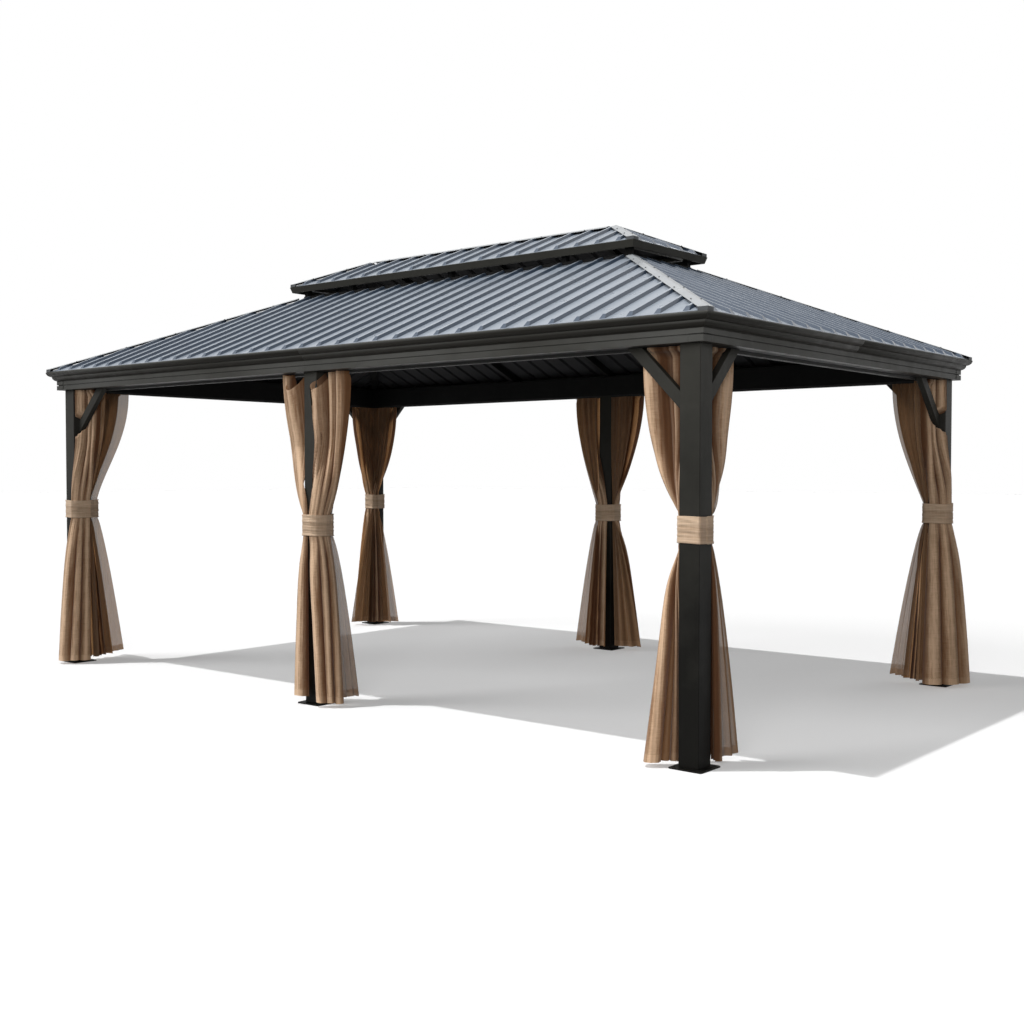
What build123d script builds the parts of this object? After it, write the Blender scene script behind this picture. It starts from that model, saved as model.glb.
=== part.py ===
from build123d import *
import math
import os

os.makedirs("parts", exist_ok=True)

# Hardtop gazebo with a two-tier hip roof and tied-back curtains.
# Millimetres, +Z up, origin on the ground under the middle of the roof.
# The long sides run along X and the front looks to -Y.

# Overall sizes
eave_length = 6060.0  # eave tip to eave tip along X
eave_width = 3630.0  # eave tip to eave tip along Y
beam_underside = 2165.0  # clear height under the beams
upper_width = 910.0  # upper roof, eave tip to eave tip along Y
roof_rise_share = 0.42  # rise of both roofs per unit of run

# Posts on their base plates
post_side = 120.0
post_wall = 3.0
post_edge_chamfer = 2.0
plate_side = 200.0
plate_thickness = 8.0
plate_corner_radius = 14.0
anchor_offset = 80.0  # hole from the plate's middle, along X and along Y
anchor_hole_radius = 6.5

# Header beams, one over each row of posts
beam_wall = 3.0
rafter_heel = 24.0  # height of a rafter above the beam's outer edge
joint_gap = 1.0  # visible butt joint at the middle of a side

# Cornice round the outside of the beams
band_face = 43.0  # flat bands, out from the beam's face
lower_band_height = 34.0
band_groove_height = 6.0
band_groove_depth = 7.0
upper_band_height = 28.0
crown_ledge = 6.0  # step out above the upper band
crown_ledge_height = 4.0
crown_tip = 106.0  # eave tip, out from the beam's face
crown_height = 64.0  # the two coves together
crown_lip_height = 4.0
crown_break_share = 0.5  # height of the crease between the two coves
crown_break_out_share = 0.42
crown_bulge_share = 0.16  # sag of each cove per unit of its chord
crown_bead = 3.0  # small ledge at the crease
cornice_wall = 3.0
mitre_gap = 0.5  # half of the gap at a mitred corner
corner_cap_leg = 88.0
corner_cap_thickness = 3.0

# Knee braces at the corner posts
brace_leg = 350.0
brace_width = 64.0
brace_thickness = 40.0

# Ribbed steel roof sheets
sheet_thickness = 1.0
rib_step = 170.0
rib_height = 18.0
rib_base = 40.0
rib_top = 20.0
rib_end_gap = 12.0  # plain strip of sheet below the foot of a rib, along the slope
rib_end_length = 30.0  # a rib's closed end slopes down over this length
sheet_setback = 12.0  # sheet edge behind the eave tip
hip_gap = 14.0  # sheet edge short of the hip line, along the eave
cap_width = 40.0  # hip or ridge cap, each side of its fold
cap_thickness = 1.5
cap_setback = 4.0
cap_foot_gap = 0.3  # turned-down end of a hip cap, above the eave

# Rafters under the lower roof and the curb round the roof vent
rafter_width = 40.0
rafter_depth = 60.0
hip_rafter_width = 56.0
rafter_place_share = 0.86  # outer rafters, as a share of half the ridge
curb_width = 50.0
curb_upstand = 22.0  # curb above the sheet's underside
curb_wall = 2.5

# Upper roof on its stub posts
upper_overhang = 80.0  # upper eave tip, out from the curb's outer face
stub_side = 40.0
stub_height = 48.0
top_plate_height = 25.0
upper_rafter_depth = 40.0
plate_notch = 8.0  # depth of the notch where an upper rafter sits on its plate
upper_fascia_height = 44.0
upper_fascia_thickness = 24.0
upper_fascia_lean = 14.0
ridge_width = 40.0
ridge_depth = 60.0

# Curtain rails, curtains and tie-backs
rail_width = 36.0
rail_height = 16.0
rail_wall = 2.0
rail_slot = 6.0
rail_end_gap = 1.0
brace_clearance = 2.0  # rail and curtain behind the braces
curtain_clearance = 0.3
curtain_depth = 48.0
curtain_gap = 2.0  # between the two curtains at a corner
curtain_top_spread = 300.0
curtain_shoulder_spread = 260.0
curtain_arm_spread = 180.0
curtain_waist_spread = 40.0
curtain_flare_spread = 125.0
curtain_hem_spread = 320.0
curtain_hem_outer = 70.0  # hem's outer side, out from the post's middle
curtain_hem_height = 30.0
curtain_shoulder_share = 0.5  # heights between the tie-back and the rail
curtain_arm_share = 0.2
curtain_flare_share = 0.9  # height between the hem and the tie-back
tie_bottom = 1153.0
tie_height = 138.0
middle_tie_drop = 53.0  # tie-backs of the middle posts, below those of the corner posts
tie_thickness = 4.0
tie_margin = 12.0  # straight waist above and below the tie-back

overrun = 50.0  # extra reach of a cutting shape

# Places worked out from those sizes
wall_line = crown_tip  # beam's outer face, in from the eave tip
bands_height = lower_band_height + band_groove_height + upper_band_height
cornice_height = bands_height + crown_ledge_height + crown_height + crown_lip_height
eave_height = beam_underside + cornice_height
post_x = eave_length / 2 - wall_line - post_side / 2
post_y = eave_width / 2 - wall_line - post_side / 2
beam_inner = wall_line + post_side
beam_top = eave_height + roof_rise_share * wall_line - rafter_heel
beam_height = beam_top - beam_underside
pitch_deg = math.degrees(math.atan(roof_rise_share))
pitch_secant = math.hypot(1, roof_rise_share)
hip_rise_share = roof_rise_share / math.sqrt(2)
sheet_rise = (sheet_thickness + rib_height) * pitch_secant
upper_inset = (eave_width - upper_width) / 2  # upper eave tip, in from the lower one
upper_length = eave_length - 2 * upper_inset
vent_inset = upper_inset + upper_overhang  # curb's outer face, in from the eave tip
vent_length = eave_length - 2 * vent_inset
vent_width = eave_width - 2 * vent_inset
curb_top = eave_height + roof_rise_share * vent_inset + curb_upstand
curb_bottom = eave_height + roof_rise_share * vent_inset - rafter_depth
top_plate_bottom = curb_top + stub_height
top_plate_top = top_plate_bottom + top_plate_height
upper_eave_height = (
    top_plate_top - plate_notch + upper_rafter_depth - roof_rise_share * upper_overhang
)
ridge_height = upper_eave_height + roof_rise_share * upper_width / 2
ridge_half = (upper_length - upper_width) / 2
rafter_place = ridge_half * rafter_place_share
curtain_line = wall_line + post_side / 2 + brace_thickness / 2 + brace_clearance
curtain_offset = curtain_line + curtain_depth / 2 - wall_line - post_side / 2
curtain_start = curtain_offset + curtain_depth / 2 + curtain_gap
curtain_waist = curtain_start + curtain_waist_spread
middle_tie_bottom = tie_bottom - middle_tie_drop

sides = ("front", "right", "back", "left")  # a quarter turn apart
corners = ("front_right", "back_right", "back_left", "front_left")
middles = ("front_middle", "back_middle")


def signs(name):
    """Signs of X and Y at a named corner or side."""
    return (1 if "right" in name else -1), (1 if "back" in name else -1)


def eave_of(name):
    """Eave length of one side."""
    return eave_length if name in ("front", "back") else eave_width


def save(name, solids):
    """Write one node: a single solid, or like solids that stand apart."""
    shape = solids[0] if len(solids) == 1 else Compound(solids)
    export_step(shape, f"parts/{name}.step")


def side_frame(name, inset=0):
    """Frame of one side: x along the eave, y inward from the eave tip."""
    across = eave_width if name in ("front", "back") else eave_length
    return Rot(0, 0, 90 * sides.index(name)) * Pos(0, inset - across / 2, 0)


def hip_frame(name, length, width):
    """Frame of one hip: x inward along the diagonal from the eave corner."""
    sx, sy = signs(name)
    angle = math.degrees(math.atan2(-sy, -sx))
    return Pos(sx * length / 2, sy * width / 2, 0) * Rot(0, 0, angle)


def outline(points):
    return make_face(Polyline(*points, close=True))


def upright(points, bottom, top):
    """Plan outline raised from one height to another."""
    return extrude(Pos(0, 0, bottom) * outline(points), amount=top - bottom, dir=(0, 0, 1))


def along_x(section, length):
    """Section drawn in local y and z, drawn out evenly to both ends of x."""
    return extrude(Plane.YZ * section, amount=length / 2, both=True)


def tube_section(width, height, wall):
    return Rectangle(width, height) - Rectangle(width - 2 * wall, height - 2 * wall)


def hip_wedge(length, depth, gap, bottom, top):
    """Plan trapezoid of one side, bounded by the two hip lines."""
    half = length / 2 - gap
    points = [(-half, 0), (half, 0), (half - depth, depth), (depth - half, depth)]
    return upright(points, bottom, top)


# Posts and base plates


def make_post():
    shaft = Rectangle(post_side, post_side)
    shaft = chamfer(shaft.vertices(), post_edge_chamfer)
    bore = Rectangle(post_side - 2 * post_wall, post_side - 2 * post_wall)
    return Pos(0, 0, plate_thickness) * extrude(shaft - bore, amount=beam_underside - plate_thickness)


def make_base_plate():
    plate = RectangleRounded(plate_side, plate_side, plate_corner_radius)
    for sx, sy in map(signs, corners):
        plate -= Pos(sx * anchor_offset, sy * anchor_offset) * Circle(anchor_hole_radius)
    return extrude(plate, amount=plate_thickness)


post_places = {name: (signs(name)[0] * post_x, signs(name)[1] * post_y) for name in corners}
post_places |= {name: (0, signs(name)[1] * post_y) for name in middles}
for name, (x, y) in post_places.items():
    save(f"post_{name}", [Pos(x, y, 0) * make_post()])
save("base_plates", [Pos(x, y, 0) * make_base_plate() for x, y in post_places.values()])

# Header beams: the long ones run corner to corner in two halves over the
# middle post, the short ones fit between them


def make_beam(length):
    bar = along_x(tube_section(post_side, beam_height, beam_wall), length)
    return Pos(0, wall_line + post_side / 2, beam_underside + beam_height / 2) * bar


long_half = (eave_length - 2 * wall_line - joint_gap) / 2
short_length = eave_width - 2 * beam_inner
for name in ("front", "back"):
    shift = (long_half + joint_gap) / 2
    halves = [side_frame(name) * Pos(s * shift, 0, 0) * make_beam(long_half) for s in (-1, 1)]
    save(f"{name}_beam", halves)
for name in ("left", "right"):
    save(f"{name}_beam", [side_frame(name) * make_beam(short_length)])

# Cornice: two flat bands with a groove between them, then a crown of two
# coves that flares out to the eave tip; its sloping top carries the sheet


def cove(start, end):
    """Concave arc between two points of the crown."""
    chord = Vector(*end) - Vector(*start)
    normal = Vector(-chord.Y, chord.X).normalized()
    middle = Vector(*start) + chord / 2 + normal * chord.length * crown_bulge_share
    return ThreePointArc(start, (middle.X, middle.Y), end)


def cornice_section():
    """Section in inward distance from the eave tip and height above the beam's underside."""
    tip_z = cornice_height
    face = crown_tip - band_face
    groove = face + band_groove_depth
    groove_bottom = lower_band_height
    groove_top = groove_bottom + band_groove_height
    band_top = bands_height
    ledge = face - crown_ledge
    crown_bottom = band_top + crown_ledge_height
    crown_top = crown_bottom + crown_height
    break_z = crown_bottom + crown_height * crown_break_share
    break_y = ledge - ledge * crown_break_out_share
    bead_y = break_y - crown_bead
    back_top = tip_z + roof_rise_share * crown_tip
    bands = Polyline(
        (crown_tip, 0),
        (face, 0),
        (face, groove_bottom),
        (groove, groove_bottom),
        (groove, groove_top),
        (face, groove_top),
        (face, band_top),
        (ledge, crown_bottom),
    )
    lower_cove = cove((ledge, crown_bottom), (break_y, break_z))
    bead = Line((break_y, break_z), (bead_y, break_z))
    upper_cove = cove((bead_y, break_z), (0, crown_top))
    back = Polyline((0, crown_top), (0, tip_z), (crown_tip, back_top), (crown_tip, 0))
    hollow = outline(
        [
            (crown_tip - cornice_wall, cornice_wall),
            (groove + cornice_wall, cornice_wall),
            (groove + cornice_wall, crown_bottom),
            (break_y + 2 * cornice_wall, break_z + cornice_wall),
            (break_y + cornice_wall, crown_top),
            (crown_tip - cornice_wall, back_top - 3 * cornice_wall),
        ]
    )
    return make_face([*bands.edges(), lower_cove, bead, upper_cove, *back.edges()]) - hollow


def make_cornice(length):
    strip = Pos(0, 0, beam_underside) * along_x(cornice_section(), length)
    strip &= hip_wedge(length, crown_tip + overrun, mitre_gap, 0, ridge_height)
    slot = Pos(0, crown_tip / 2, eave_height) * Box(joint_gap, crown_tip + overrun, eave_height)
    return (strip - slot).solids()


for name in sides:
    save(f"{name}_cornice", [side_frame(name) * half for half in make_cornice(eave_of(name))])

# Corner caps, wrapped round each flat band of the cornice


def make_corner_cap(name, bottom, height):
    sx, sy = signs(name)
    x = eave_length / 2 - crown_tip + band_face
    y = eave_width / 2 - crown_tip + band_face
    t = corner_cap_thickness
    leg = corner_cap_leg
    points = [(t, t), (-leg, t), (-leg, 0), (0, 0), (0, -leg), (t, -leg)]
    points = [(sx * (x + px), sy * (y + py)) for px, py in points]
    return upright(points, bottom, bottom + height)


upper_band_bottom = beam_underside + lower_band_height + band_groove_height
corner_caps = []
for name in corners:
    corner_caps.append(make_corner_cap(name, beam_underside, lower_band_height))
    corner_caps.append(make_corner_cap(name, upper_band_bottom, upper_band_height))
save("cornice_corner_caps", corner_caps)

# Knee braces: a straight bar at 45 degrees from each inner face of a corner
# post up to the beam


def make_brace():
    rise = brace_width * math.sqrt(2)
    points = [(0, -brace_leg), (0, rise - brace_leg), (brace_leg - rise, 0), (brace_leg, 0)]
    bar = extrude(Plane.XZ * outline(points), amount=brace_thickness / 2, both=True)
    return Pos(post_side / 2, 0, beam_underside) * bar


for name in corners:
    sx, sy = signs(name)
    toward = [math.degrees(math.atan2(0, -sx)), math.degrees(math.atan2(-sy, 0))]
    x, y = post_places[name]
    save(f"braces_{name}", [Pos(x, y, 0) * Rot(0, 0, angle) * make_brace() for angle in toward])

# Ribbed roof sheets, folded from one profile and cut off at the hips; the ribs
# have closed, sloping ends just above the eave


def rib_line(length):
    """Folded line across the ribs, with a rib on the middle of the side."""
    count = int((length / 2 - rib_base) / rib_step)
    line = [(-length / 2, 0)]
    for i in range(-count, count + 1):
        c = i * rib_step
        line += [(c - rib_base / 2, 0), (c - rib_top / 2, rib_height)]
        line += [(c + rib_top / 2, rib_height), (c + rib_base / 2, 0)]
    line.append((length / 2, 0))
    return line


def make_sheet(length, run, eave_z):
    """One slope of a hip roof, its underside rising from the eave tip."""
    reach = (run + overrun) * pitch_secant
    toe = sheet_setback * pitch_secant + rib_end_gap
    crest = toe + rib_end_length
    under = rib_line(length)
    over = [(x, z + sheet_thickness) for x, z in reversed(under)]
    folded = extrude(Plane.XZ * outline(under + over), amount=crest - reach)
    filled = extrude(Plane.XZ * outline([under[0], under[-1]] + over), amount=-crest)
    ramp = [(0, 0), (0, sheet_thickness), (toe, sheet_thickness)]
    ramp += [(crest, sheet_thickness + rib_height), (crest, 0)]
    flat = Pos(0, crest, 0) * folded + (filled & along_x(outline(ramp), length))
    sheet = Pos(0, 0, eave_z) * Rot(pitch_deg, 0, 0) * flat
    half = length / 2 - hip_gap
    low = (half - sheet_setback, sheet_setback)
    top = min(run, half)
    points = [(-low[0], low[1]), low, (half - top, top)]
    if top < half:
        points.append((top - half, top))
    sheet &= upright(points, 0, ridge_height + overrun)
    return sheet.solid()


for name in sides:
    lower = make_sheet(eave_of(name), vent_inset, eave_height)
    save(f"{name}_roof_sheet", [side_frame(name) * lower])
    upper_eave = eave_of(name) - 2 * upper_inset
    upper = make_sheet(upper_eave, upper_width / 2 - hip_gap, upper_eave_height)
    save(f"{name}_upper_sheet", [side_frame(name, upper_inset) * upper])

# Hip and ridge caps, folded strips that lie on the ribs; a hip cap's lower end
# is turned down to the eave


def fold_section(half_width, rise_share, thickness):
    drop = -rise_share * half_width
    under = [(-half_width, drop), (0, 0), (half_width, drop)]
    return outline(under + [(y, z + thickness) for y, z in reversed(under)])


def make_hip_cap(name, length, width, run, eave_z):
    start = -overrun
    reach = run * math.sqrt(2) - start
    tall = ridge_height + overrun + sheet_rise

    def along_hip(section):
        bar = extrude(
            Plane.YZ * section,
            amount=reach * math.hypot(1, hip_rise_share),
            dir=(1, 0, hip_rise_share),
        )
        bar = Pos(start, 0, eave_z + sheet_rise + hip_rise_share * start) * bar
        return hip_frame(name, length, width) * bar

    def plan(inset):
        return Rectangle(length - 2 * inset, width - 2 * inset)

    strip = along_hip(fold_section(cap_width, hip_rise_share, cap_thickness))
    strip &= extrude(plan(cap_setback), amount=tall)
    inner = cap_setback + cap_thickness
    foot_z = eave_z + roof_rise_share * inner + cap_foot_gap
    end = along_hip(Pos(0, -sheet_rise) * fold_section(cap_width, hip_rise_share, sheet_rise))
    end &= Pos(0, 0, foot_z) * extrude(plan(cap_setback) - plan(inner), amount=tall)
    return strip + end


def cap_side(name, strip, width):
    """Keep a cap on its own side of the ridge."""
    _, sy = signs(name)
    own = Pos(0, sy * (width + mitre_gap) / 2, 0) * Rectangle(2 * upper_length, width - mitre_gap)
    return (strip & extrude(own, amount=ridge_height + overrun + sheet_rise)).solid()


lower_run = vent_inset - cap_width / math.sqrt(2)
save(
    "hip_caps",
    [make_hip_cap(name, eave_length, eave_width, lower_run, eave_height).solid() for name in corners],
)
upper_hips = {
    name: make_hip_cap(name, upper_length, upper_width, upper_width / 2, upper_eave_height)
    for name in corners
}
save("upper_hip_caps", [cap_side(name, strip, upper_width) for name, strip in upper_hips.items()])
ridge_cap_half = ridge_half - cap_width * math.sqrt(2)
ridge_cap = along_x(fold_section(cap_width, roof_rise_share, cap_thickness), 2 * ridge_cap_half)
save("ridge_cap", [Pos(0, 0, ridge_height + sheet_rise) * ridge_cap])

# Rafters of the lower roof: their top edges carry the sheets and a notch
# seats each one on the beam


def rafter_slope(points, width):
    return extrude(Plane.YZ * outline(points), amount=width / 2, both=True)


def make_rafter():
    foot_z = eave_height + roof_rise_share * wall_line
    head_z = eave_height + roof_rise_share * vent_inset
    seat = (beam_top + rafter_depth - eave_height) / roof_rise_share
    points = [
        (wall_line, foot_z),
        (vent_inset, head_z),
        (vent_inset, head_z - rafter_depth),
        (seat, beam_top),
        (wall_line, beam_top),
    ]
    return rafter_slope(points, rafter_width)


def hip_bar(name, length, width, first, last, depth, eave_z):
    """Bar under a hip, its top folded to lie under both slopes."""
    half = hip_rafter_width / 2
    start = first * math.sqrt(2) + half
    reach = last * math.sqrt(2) - start
    drop = -hip_rise_share * half
    points = [(-half, drop), (0, 0), (half, drop), (half, -depth), (-half, -depth)]
    bar = extrude(
        Plane.YZ * outline(points),
        amount=reach * math.hypot(1, hip_rise_share),
        dir=(1, 0, hip_rise_share),
    )
    bar = Pos(start, 0, eave_z + hip_rise_share * start) * bar
    return hip_frame(name, length, width) * bar


def make_hip_rafter(name):
    bar = hip_bar(name, eave_length, eave_width, wall_line, vent_inset, rafter_depth, eave_height)
    return (bar - extrude(Rectangle(eave_length, eave_width), amount=beam_top)).solid()


rafters = []
for name in ("front", "back"):
    for step in (-1, 0, 1):
        rafters.append(side_frame(name) * Pos(step * rafter_place, 0, 0) * make_rafter())
for name in ("left", "right"):
    rafters.append(side_frame(name) * make_rafter())
save("rafters", rafters)
save("hip_rafters", [make_hip_rafter(name) for name in corners])

# Curb round the roof vent, the stub posts on it and the plate they carry


def make_ring(bottom, height, wall):
    """Four bars: the long ones run through, the short ones fit between."""
    section = tube_section(curb_width, height, wall)
    bars = []
    for name in ("front", "back"):
        bars.append(side_frame(name) * Pos(0, vent_inset + curb_width / 2, 0) * along_x(section, vent_length))
    for name in ("left", "right"):
        length = vent_width - 2 * curb_width - 2 * mitre_gap
        bars.append(side_frame(name) * Pos(0, vent_inset + curb_width / 2, 0) * along_x(section, length))
    return [Pos(0, 0, bottom + height / 2) * bar for bar in bars]


save("vent_curb", make_ring(curb_bottom, curb_top - curb_bottom, curb_wall))
save("upper_plate", make_ring(top_plate_bottom, top_plate_height, curb_wall))

stub_x = (vent_length - curb_width) / 2
stub_y = (vent_width - curb_width) / 2
stub_xs = [-stub_x, -rafter_place, 0, rafter_place, stub_x]
stub = extrude(Rectangle(stub_side, stub_side), amount=stub_height)
save("vent_posts", [Pos(x, sy * stub_y, curb_top) * stub for x in stub_xs for sy in (-1, 1)])

# Upper roof frame: fascia, rafters and ridge beam


def make_upper_fascia(length):
    top = upper_fascia_height
    inner_top = top + roof_rise_share * upper_fascia_thickness
    points = [
        (0, top),
        (upper_fascia_lean, 0),
        (upper_fascia_thickness, 0),
        (upper_fascia_thickness, inner_top),
    ]
    strip = Pos(0, 0, upper_eave_height - upper_fascia_height) * along_x(outline(points), length)
    return (strip & hip_wedge(length, upper_fascia_thickness + overrun, mitre_gap, 0, ridge_height)).solid()


fascias = []
for name in sides:
    upper_eave = eave_of(name) - 2 * upper_inset
    fascias.append(side_frame(name, upper_inset) * make_upper_fascia(upper_eave))
save("upper_fascia", fascias)


def upper_slope(run):
    return upper_eave_height + roof_rise_share * run


def make_upper_rafter():
    tail = upper_fascia_thickness
    head = (upper_width - ridge_width) / 2
    seat = (top_plate_top + upper_rafter_depth - upper_eave_height) / roof_rise_share
    points = [
        (tail, upper_slope(tail)),
        (head, upper_slope(head)),
        (head, upper_slope(head) - upper_rafter_depth),
        (seat, top_plate_top),
        (upper_overhang, top_plate_top),
        (upper_overhang, upper_slope(upper_overhang) - upper_rafter_depth),
        (tail, upper_slope(tail) - upper_rafter_depth),
    ]
    return rafter_slope(points, rafter_width)


def make_upper_hip(name):
    _, sy = signs(name)
    bar = hip_bar(
        name,
        upper_length,
        upper_width,
        upper_fascia_thickness,
        upper_width / 2,
        upper_rafter_depth,
        upper_eave_height,
    )
    bar -= extrude(Rectangle(vent_length, vent_width), amount=top_plate_top)
    own = Pos(0, sy * (upper_width + ridge_width) / 2, 0) * Rectangle(2 * upper_length, upper_width)
    return (bar & extrude(own, amount=ridge_height + overrun)).solid()


upper_rafters = [make_upper_hip(name) for name in corners]
for name in ("front", "back"):
    for step in (-1, 0, 1):
        place = side_frame(name, upper_inset) * Pos(step * rafter_place, 0, 0)
        upper_rafters.append(place * make_upper_rafter())
save("upper_rafters", upper_rafters)

ridge_half_width = ridge_width / 2
ridge_drop = -roof_rise_share * ridge_half_width
ridge_section = outline(
    [
        (-ridge_half_width, ridge_drop),
        (0, 0),
        (ridge_half_width, ridge_drop),
        (ridge_half_width, -ridge_depth),
        (-ridge_half_width, -ridge_depth),
    ]
)
save("ridge_beam", [Pos(0, 0, ridge_height) * along_x(ridge_section, 2 * ridge_half)])

# Curtain rails: a double track under each beam, between the posts


def make_rail(length):
    track = (rail_width - 3 * rail_wall) / 2
    inside = rail_height - 2 * rail_wall
    section = Rectangle(rail_width, rail_height)
    for s in (-1, 1):
        centre = s * (track + rail_wall) / 2
        section -= Pos(centre, 0) * Rectangle(track, inside)
        section -= Pos(centre, -rail_height / 2) * Rectangle(rail_slot, rail_height)
    bar = along_x(section, length)
    return Pos(0, curtain_line + rail_width / 2, beam_underside - rail_height / 2) * bar


rails = []
long_bay = post_x - post_side - 2 * rail_end_gap
short_bay = 2 * post_y - post_side - 2 * rail_end_gap
for name in ("front", "back"):
    for s in (-1, 1):
        rails.append(side_frame(name) * Pos(s * post_x / 2, 0, 0) * make_rail(long_bay))
for name in ("left", "right"):
    rails.append(side_frame(name) * make_rail(short_bay))
save("curtain_rails", rails)

# Curtains: each hangs gathered beside a post, is drawn in at the tie-back
# and spreads again to its hem


def make_curtain(side, tie_z):
    """Curtain beside a post: x away from the post's middle, y inward on the given side."""
    top_z = beam_underside - rail_height - curtain_clearance
    waist_top = tie_z + tie_height + tie_margin
    waist_bottom = tie_z - tie_margin
    shoulder_z = waist_top + (top_z - waist_top) * curtain_shoulder_share
    arm_z = waist_top + (top_z - waist_top) * curtain_arm_share
    flare_z = curtain_hem_height + (waist_bottom - curtain_hem_height) * curtain_flare_share
    outer = curtain_offset - curtain_depth / 2
    inner = curtain_offset + curtain_depth / 2
    edge = [
        (curtain_hem_height, curtain_hem_spread),
        (flare_z, curtain_flare_spread),
        (waist_bottom, curtain_waist_spread),
        (waist_top, curtain_waist_spread),
        (arm_z, curtain_arm_spread),
        (shoulder_z, curtain_shoulder_spread),
        (top_z, curtain_top_spread),
    ]
    front = [(curtain_start, top_z), (curtain_start, curtain_hem_height)]
    front += [(curtain_start + spread, z) for z, spread in edge]
    flank = [(inner, top_z), (inner, curtain_hem_height), (-curtain_hem_outer, curtain_hem_height)]
    flank += [(outer, flare_z), (outer, top_z)]
    flank = [(side * y, z) for y, z in flank]
    wide = extrude(Plane.XZ * outline(front), amount=inner + curtain_hem_outer, both=True)
    deep = extrude(Plane.YZ * outline(flank), amount=curtain_start + curtain_hem_spread, both=True)
    return (wide & deep).solid()


for name in corners:
    sx, sy = signs(name)
    place = Pos(*post_places[name], 0)
    long_turn = Rot(0, 0, math.degrees(math.atan2(0, -sx)))
    short_turn = Rot(0, 0, math.degrees(math.atan2(-sy, 0)))
    long_wing = place * long_turn * make_curtain(sx * sy, tie_bottom)
    short_wing = place * short_turn * make_curtain(-sx * sy, tie_bottom)
    save(f"curtains_{name}", [long_wing, short_wing])
for name in middles:
    _, sy = signs(name)
    place = Pos(*post_places[name], 0)
    right_wing = place * make_curtain(-sy, middle_tie_bottom)
    left_wing = place * Rot(0, 0, 180) * make_curtain(sy, middle_tie_bottom)
    save(f"curtains_{name}", [right_wing, left_wing])

# Tie-backs: a wide fabric band drawn tight round each post and the waists of
# the curtains beside it

half_post = post_side / 2
waist_near = curtain_offset - curtain_depth / 2
waist_far = curtain_offset + curtain_depth / 2


def make_tie(points, bottom):
    """Band round an outline given in x and y inward from the post's middle."""
    wrapped = offset(outline(points), amount=curtain_clearance, kind=Kind.INTERSECTION)
    band = offset(wrapped, amount=tie_thickness, kind=Kind.INTERSECTION) - wrapped
    return Pos(0, 0, bottom) * extrude(band, amount=tie_height)


corner_wrap = [
    (-half_post, -half_post),
    (half_post, -half_post),
    (curtain_waist, waist_near),
    (curtain_waist, waist_far),
    (waist_far, curtain_waist),
    (waist_near, curtain_waist),
    (-half_post, half_post),
]
middle_wrap = [
    (-half_post, -half_post),
    (half_post, -half_post),
    (curtain_waist, waist_near),
    (curtain_waist, waist_far),
    (-curtain_waist, waist_far),
    (-curtain_waist, waist_near),
]
ties = []
for name in corners:
    sx, sy = signs(name)
    x, y = post_places[name]
    points = [(-sx * px, -sy * py) for px, py in corner_wrap]
    ties.append(Pos(x, y, 0) * make_tie(points, tie_bottom))
for name in middles:
    _, sy = signs(name)
    x, y = post_places[name]
    points = [(px, -sy * py) for px, py in middle_wrap]
    ties.append(Pos(x, y, 0) * make_tie(points, middle_tie_bottom))
save("tie_backs", ties)
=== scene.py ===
import math
from collections import namedtuple

import bpy
import numpy as np
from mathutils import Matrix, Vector
from mathutils.bvhtree import BVHTree


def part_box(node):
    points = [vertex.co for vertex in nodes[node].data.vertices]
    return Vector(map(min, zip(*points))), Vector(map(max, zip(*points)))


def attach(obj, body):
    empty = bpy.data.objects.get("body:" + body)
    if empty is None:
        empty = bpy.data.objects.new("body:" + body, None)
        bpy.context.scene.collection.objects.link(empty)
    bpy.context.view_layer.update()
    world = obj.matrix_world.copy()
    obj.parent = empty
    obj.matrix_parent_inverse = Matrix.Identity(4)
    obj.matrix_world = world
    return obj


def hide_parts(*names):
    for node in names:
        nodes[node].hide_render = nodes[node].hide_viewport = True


# Hardtop gazebo dressed for a studio picture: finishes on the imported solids,
# gathered curtains and nets, tie-backs, curtain rings and cap screws.
# Metres, +Z up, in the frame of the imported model.

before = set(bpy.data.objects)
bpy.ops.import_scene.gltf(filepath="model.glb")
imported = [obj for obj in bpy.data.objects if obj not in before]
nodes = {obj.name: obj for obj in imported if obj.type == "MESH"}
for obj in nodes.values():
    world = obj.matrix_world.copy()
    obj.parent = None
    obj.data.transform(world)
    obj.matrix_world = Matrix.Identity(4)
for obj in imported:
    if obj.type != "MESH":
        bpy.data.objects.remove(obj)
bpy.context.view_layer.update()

# Camera
camera_place = (6.226, -7.1713, 1.5155)
camera_yaw = 39.6446
camera_pitch = 1.8223
camera_focal_px = 1257.2
image_px = 1024
sensor_mm = 36.0
camera_reach = 300.0

# Light
key_travel = (0.259, 0.226, -0.939)
key_strength = 2.5
key_angle = 1.0
left_travel = (0.62, 0.66, -0.42)
left_strength = 2.0
left_angle = 32.0
back_travel = (-0.30, -0.82, -0.48)
back_strength = 0.45
back_angle = 50.0
lamp_place = (6.5, -10.0, 3.4)
lamp_aim = (0.8, -1.0, 1.1)
lamp_side = 3.0
lamp_watts = 400.0
world_strength = 0.15
floor_side = 160.0
floor_seen = 0.62  # colour of the floor where it is seen or mirrored
floor_glow = 0.26  # light that it adds there, to come out white
floor_bounce = 0.20  # colour of the floor where it only lights the object

# Posts and curtain heights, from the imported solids
post_low, post_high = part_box("post_front_right")
post_half = (post_high.x - post_low.x) / 2
tie_reach = 3 * post_half  # a tie-back's points lie this near to its post's middle
rail_low, rail_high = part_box("curtain_rails")
curtain_low, curtain_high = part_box("curtains_front_right")
top_z = curtain_high.z
hem_z = curtain_low.z

corners = ("front_right", "back_right", "back_left", "front_left")
middles = ("front_middle", "back_middle")
posts = corners + middles


def signs(name):
    """Signs of X and Y at a named post or side."""
    return (1 if "right" in name else -1), (1 if "back" in name else -1)


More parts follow.
